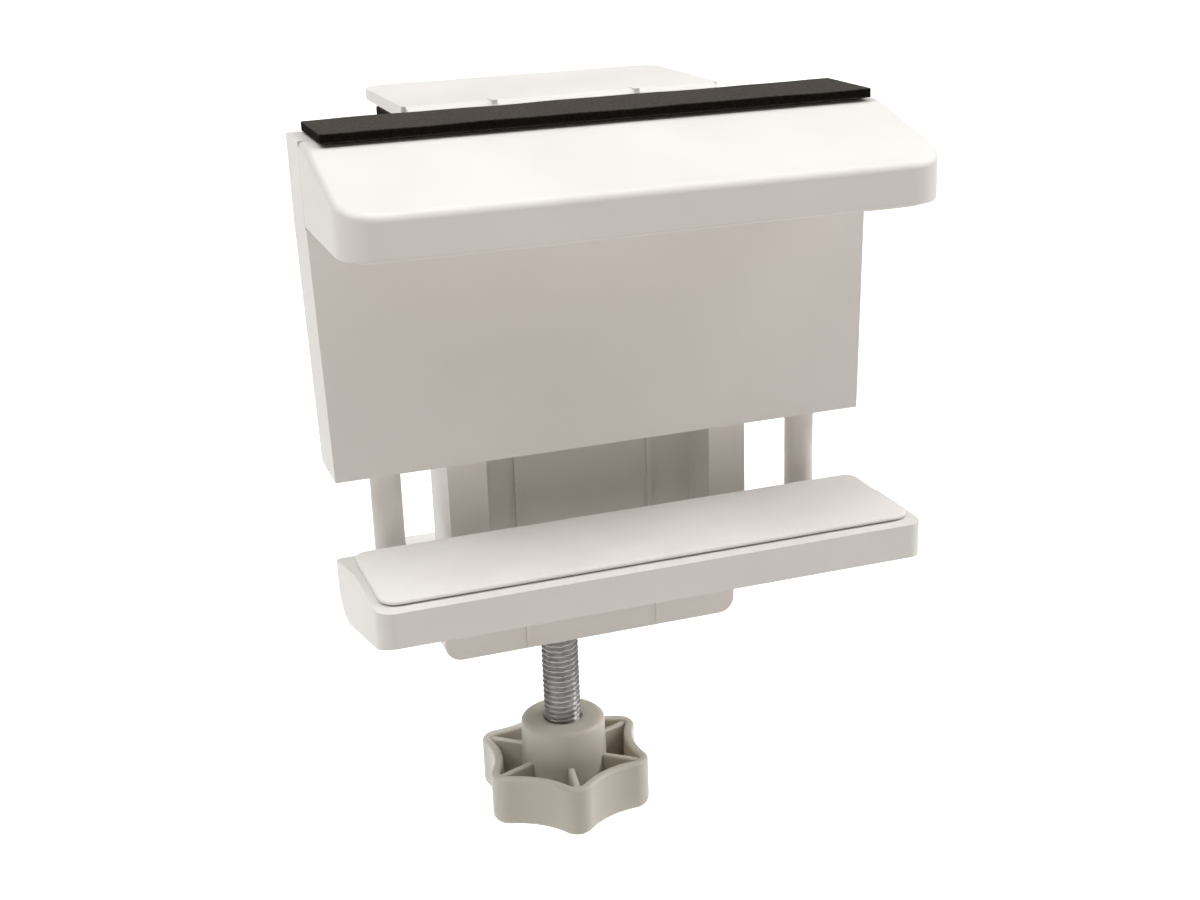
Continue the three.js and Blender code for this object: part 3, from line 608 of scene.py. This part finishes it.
SCREW_HOLE, LOWER_HOLE_DEPTH, UPPER_HOLE_DEPTH, ROD_EDGE = 2.05, 13, 11, 0.4
low, high = part_box("guide_rod_left")
length, radius = high[2] - low[2], (high[0] - low[0]) / 2
rod = rounded([
    (0, LOWER_HOLE_DEPTH), (SCREW_HOLE, LOWER_HOLE_DEPTH), (SCREW_HOLE, 0), (radius, 0),
    (radius, length), (SCREW_HOLE, length), (SCREW_HOLE, length - UPPER_HOLE_DEPTH),
    (0, length - UPPER_HOLE_DEPTH),
], ROD_EDGE)
for side in ("left", "right"):
    turned(f"guide_rod_{side}_bar", f"guide_rod_{side}", rod)

# %% [markdown]
# The pressure foot is a round plate on a cup. The cup snaps over the ball at the end of the screw, so it has
# a neck hole, a wider socket above it and a roof. A rubber disc sits on the plate.

# %% Pressure foot and foot pad
NECK_HOLE, SOCKET, CUP_END, CUP = 3.3, 4.3, 7, 8.5
CUP_TAPER, SOCKET_FLOOR, SOCKET_ROOF, PLATE, PLATE_EDGE = 2, 3, 2.3, 3, 2.2
FOOT_EDGE = 0.5

low, high = part_box("pressure_foot")
top, radius = high[2] - low[2], (high[0] - low[0]) / 2
turned("pressure_foot_cup", "pressure_foot", rounded([
    (NECK_HOLE, 0), (CUP_END, 0), (CUP, CUP_TAPER), (CUP, top - PLATE), (radius, top - PLATE_EDGE),
    (radius, top), (0, top), (0, top - SOCKET_ROOF), (SOCKET, top - SOCKET_ROOF), (SOCKET, SOCKET_FLOOR),
    (NECK_HOLE, SOCKET_FLOOR), (NECK_HOLE, 0),
], FOOT_EDGE))

low, high = part_box("foot_pad")
top, radius = high[2] - low[2], (high[0] - low[0]) / 2
turned("foot_pad_disc", "foot_pad", rounded([(0, 0), (radius, 0), (radius, top), (0, top)], FOOT_EDGE))

# %% [markdown]
# ## Clamp screw
#
# An M10 screw has a thread of 1.5 mm pitch, cut 0.92 mm deep with flanks at 60 degrees. Its radius depends on
# one number only: how far a point is through its own turn of the helix, which is height / pitch minus
# angle / full turn. The flat crest is an eighth of the pitch and the flat root a quarter. Above the thread
# come a thin neck and the ball that the pressure foot snaps over.

# %% The threaded clamp screw
PITCH, THREAD_DEPTH, THREAD_STEPS = 1.5, 0.92, 10
CREST_HALF, ROOT_HALF = 1 / 16, 1 / 8
NECK, BALL, NECK_HEIGHT, NECK_AND_BALL = 3, 4, 3.6, 6.6
AROUND = 40

low, high = part_box("clamp_screw")
screw_radius = (high[0] - low[0]) / 2
axis = (low[:2] + high[:2]) / 2
thread_length = high[2] - low[2] - NECK_AND_BALL
angle = np.linspace(0, 2 * math.pi, AROUND, endpoint=False)[None]
climb = np.arange(0, thread_length, PITCH / THREAD_STEPS)[:, None]
turn = (climb / PITCH - angle / (2 * math.pi)) % 1
from_crest = np.minimum(turn, 1 - turn)
groove = np.clip((from_crest - CREST_HALF) / (0.5 - ROOT_HALF - CREST_HALF), 0, 1)
to_end = np.minimum(climb, thread_length - climb)
radius = np.minimum(screw_radius - THREAD_DEPTH * groove, screw_radius - THREAD_DEPTH + to_end)
tip = np.array([
    (BALL - 0.1, 0), (NECK, 0.1), (NECK, NECK_HEIGHT), (BALL - 0.5, NECK_HEIGHT + 0.2),
    (BALL, NECK_HEIGHT + 0.7), (BALL, NECK_AND_BALL - 1), (BALL - 0.5, NECK_AND_BALL - 0.3),
    (BALL - 1.4, NECK_AND_BALL), (0, NECK_AND_BALL),
])
radius = np.concatenate([0 * angle, radius, tip[:, :1] + 0 * angle])
climb = np.concatenate([[[0]], climb, thread_length + tip[:, 1:]]) + 0 * angle
screw = skin("clamp_screw_threaded", np.stack(
    [axis[0] + radius * np.cos(angle), axis[1] + radius * np.sin(angle), low[2] + climb], axis=-1))
dress(screw, "clamp_screw")

# %% [markdown]
# ## Star knob
#
# The knob is a shallow cup with a six-pointed outline. Small circles make the tips and wide circles the
# hollow sides, and the two kinds touch without a corner. At each angle the outline's radius is where a ray
# from the axis meets one of those circles.

# %% The knob's outline
LOBES, FIRST_LOBE = 6, math.radians(21)
TIP_RADIUS, WAIST, TIP_ROUND = 24.0, 19.6, 4.8

low, high = part_box("star_knob")
tip_centre, reach = TIP_RADIUS - TIP_ROUND, WAIST - TIP_ROUND
half_step = math.pi / LOBES
waist_centre = (tip_centre ** 2 - reach ** 2) / (2 * (tip_centre * math.cos(half_step) - reach))
waist_round = waist_centre - WAIST
touch = math.atan2(waist_centre * math.sin(half_step), waist_centre * math.cos(half_step) - tip_centre)


def star(angle, inset):
    """Radius of the knob's outline, moved inwards by inset. Near a lobe the ray leaves the tip's circle at
    c cos a + root(r^2 - (c sin a)^2). Near a waist it enters the hollow's circle, with a minus sign."""
    off = np.abs((angle - FIRST_LOBE + half_step) % (2 * half_step) - half_step)
    tip, hollow = TIP_ROUND - inset, waist_round + inset
    near_tip = tip_centre * np.cos(off) + np.sqrt(np.maximum(tip ** 2 - (tip_centre * np.sin(off)) ** 2, 0))
    past = half_step - off
    near_waist = waist_centre * np.cos(past) - np.sqrt(
        np.maximum(hollow ** 2 - (waist_centre * np.sin(past)) ** 2, 0))
    meets = np.arctan2(tip * math.sin(touch), tip_centre + tip * math.cos(touch))
    return np.where(off < meets, near_tip, near_waist)


print("a hollow side has a radius of", round(waist_round, 1), "mm")

# %% [markdown]
# The cup and the hub are one skin. It runs from the middle of the underside out to the rim, down the inside
# of the wall, along the floor, up the hub and down its bore. Small bends join walls and floor, as the mould
# has a radius there.

# %% The knob's cup and hub
RIM_BELOW_HUB, FLOOR_THICK, WALL, BORE_FLOOR = 9.7, 3.0, 2.5, 3.7
UNDER_ROUND, RIM_ROUND, HUB_ROUND, HUB_RADIUS = 2.2, 0.8, 2.0, 11.4
WALL_BEND, WALL_FOOT, HUB_BEND, HUB_FOOT, BEND_HEIGHT = 0.2, 0.8, 0.3, 0.9, 0.6
BORE_GAP, BORE_BEVEL, BORE_BEVEL_DEPTH = 0.05, 0.3, 0.4
WALL_STARTS, HUB_STARTS, KNOB_COLUMNS = 2, 3, 360

bore = screw_radius + BORE_GAP
top = high[2] - low[2]
rim = top - RIM_BELOW_HUB
edge_in, edge_up = quarter(UNDER_ROUND)
lip_in, lip_down = quarter(RIM_ROUND)
angle = np.linspace(0, 2 * math.pi, KNOB_COLUMNS, endpoint=False)[None]
star_rows = np.concatenate([
    np.stack([edge_in[::-1], edge_up[::-1]], axis=1),
    np.stack([lip_in, rim - lip_down], axis=1),
    np.stack([WALL - lip_in[::-1], rim - lip_down[::-1]], axis=1),
    [(WALL, rim - WALL_STARTS), (WALL + WALL_BEND, FLOOR_THICK + BEND_HEIGHT),
     (WALL + WALL_FOOT, FLOOR_THICK)],
])
hub_rows = np.concatenate([
    [(HUB_RADIUS + HUB_FOOT, FLOOR_THICK), (HUB_RADIUS + HUB_BEND, FLOOR_THICK + BEND_HEIGHT),
     (HUB_RADIUS, top - HUB_STARTS)],
    rounded([(HUB_RADIUS, top - HUB_STARTS + 0.1), (HUB_RADIUS, top), (bore + BORE_BEVEL, top),
             (bore, top - BORE_BEVEL_DEPTH)], HUB_ROUND, steps=6),
    [(bore, BORE_FLOOR), (0, BORE_FLOOR)],
])
radius = np.concatenate([0 * angle, star(angle, star_rows[:, :1]), hub_rows[:, :1] + 0 * angle])
height = np.concatenate([[[0]], star_rows[:, 1:], hub_rows[:, 1:]]) + 0 * angle
cup = np.stack([axis[0] + radius * np.cos(angle), axis[1] + radius * np.sin(angle), low[2] + height], axis=-1)
print("the cup is a grid of", cup.shape[:2], "points")

# %% [markdown]
# Six thin spokes brace the rim. A spoke is one section, a flat bar with a round top, carried straight out
# from the hub. Its ends shrink to a point inside the hub and inside the wall, so it is closed and no gap
# shows.

# %% The knob's spokes
SPOKE_HALF, SPOKE_BELOW_RIM, SPOKE_ROUND, SUNK = 0.9, 0.4, 0.7, 0.5

spoke_top, spoke_foot = rim - SPOKE_BELOW_RIM, FLOOR_THICK - SUNK
section = rounded([(-SPOKE_HALF, spoke_foot), (-SPOKE_HALF, spoke_top), (SPOKE_HALF, spoke_top),
                   (SPOKE_HALF, spoke_foot)], SPOKE_ROUND)
inner, outer = HUB_RADIUS - SUNK, TIP_RADIUS - WALL + SUNK
along = np.array([inner, inner, outer, outer])[:, None]
open_ends = np.array([0, 1, 1, 0])[:, None]
middle = (spoke_top + spoke_foot) / 2
across, up_spoke = section[:, 0] * open_ends, middle + (section[:, 1] - middle) * open_ends
spokes = []
for lobe in FIRST_LOBE + 2 * half_step * np.arange(LOBES):
    x = along * math.cos(lobe) - across * math.sin(lobe)
    y = along * math.sin(lobe) + across * math.cos(lobe)
    spokes.append(np.stack([axis[0] + x, axis[1] + y, low[2] + up_spoke + 0 * along], axis=-1))
knob = skin("star_knob_moulding", cup, *spokes)
even_shading(knob)
dress(knob, "star_knob")

# %% [markdown]
# ## Small hardware
#
# Screws, stops, bushes and the nut are small and already the right shape. They stay as they are and only get
# a real finish.

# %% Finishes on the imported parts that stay
for name, part in frame["nodes"].items():
    if not part.hide_render:
        for place in part.material_slots:
            place.material = FINISHES[part_slot[name]].material
print("kept:", sorted(name for name, part in frame["nodes"].items() if not part.hide_render))

# %% [markdown]
# ## The floor and the backdrop
#
# The holder hangs above a wide pale floor, as it would from a desk, because its knob comes down when the
# screw is turned out. A white dome far away closes the room, so that no edge or sky shows from any side. Both
# are hidden from diffuse light, because the sky already holds the glow of a white room. The dome casts no
# shadow, so the suns shine through it.

# %% Floor and backdrop
FLOOR_GLOW, DOME_GLOW, ROOM_RADIUS = 0.35, 1.0, 7000.0
ROOM_UNDER_KNOB, INSIDE_FLOOR_EDGE = 60.0, 0.99
ROOM_COLUMNS, DOME_ROWS = 64, 17
floor_height = object_low[2] - ROOM_UNDER_KNOB


def paper(name, glow):
    """White paper with a very faint cloudiness, which also gives off a little light of its own."""
    finish = Finish(name, roughness=0.9, specular=0.1)
    cloud = finish.noise(400, detail=2)
    return finish.set(
        Base_Color=finish.blend(cloud, (0.3, (0.93, 0.93, 0.925)), (0.7, (0.95, 0.95, 0.945))),
        Emission_Color=(1, 1, 1, 1),
        Emission_Strength=glow,
    )


angle = np.linspace(0, 2 * math.pi, ROOM_COLUMNS, endpoint=False)[None]
floor_radius = np.array([0, 1])[:, None] * ROOM_RADIUS
floor = skin("floor", np.stack([floor_radius * np.cos(angle), floor_radius * np.sin(angle),
                                floor_height + 0 * floor_radius * angle], axis=-1))
climb = np.linspace(0, math.pi / 2, DOME_ROWS)[:, None]
dome = skin("backdrop", INSIDE_FLOOR_EDGE * ROOM_RADIUS * np.stack(
    [np.cos(climb) * np.cos(angle), np.cos(climb) * np.sin(angle), np.sin(climb) + 0 * angle], axis=-1)
    + (0, 0, floor_height))
for piece, glow in ((floor, FLOOR_GLOW), (dome, DOME_GLOW)):
    piece.data.materials.append(paper(f"white_paper_{piece.name}", glow).material)
    piece.visible_diffuse = False
dome.visible_glossy = dome.visible_shadow = False
print("floor at", round(floor_height, 1), "mm")

# %% [markdown]
# ## Size
#
# The looks are meant to leave the object's size as it was.

# %% Sizes
print("the scene is built")
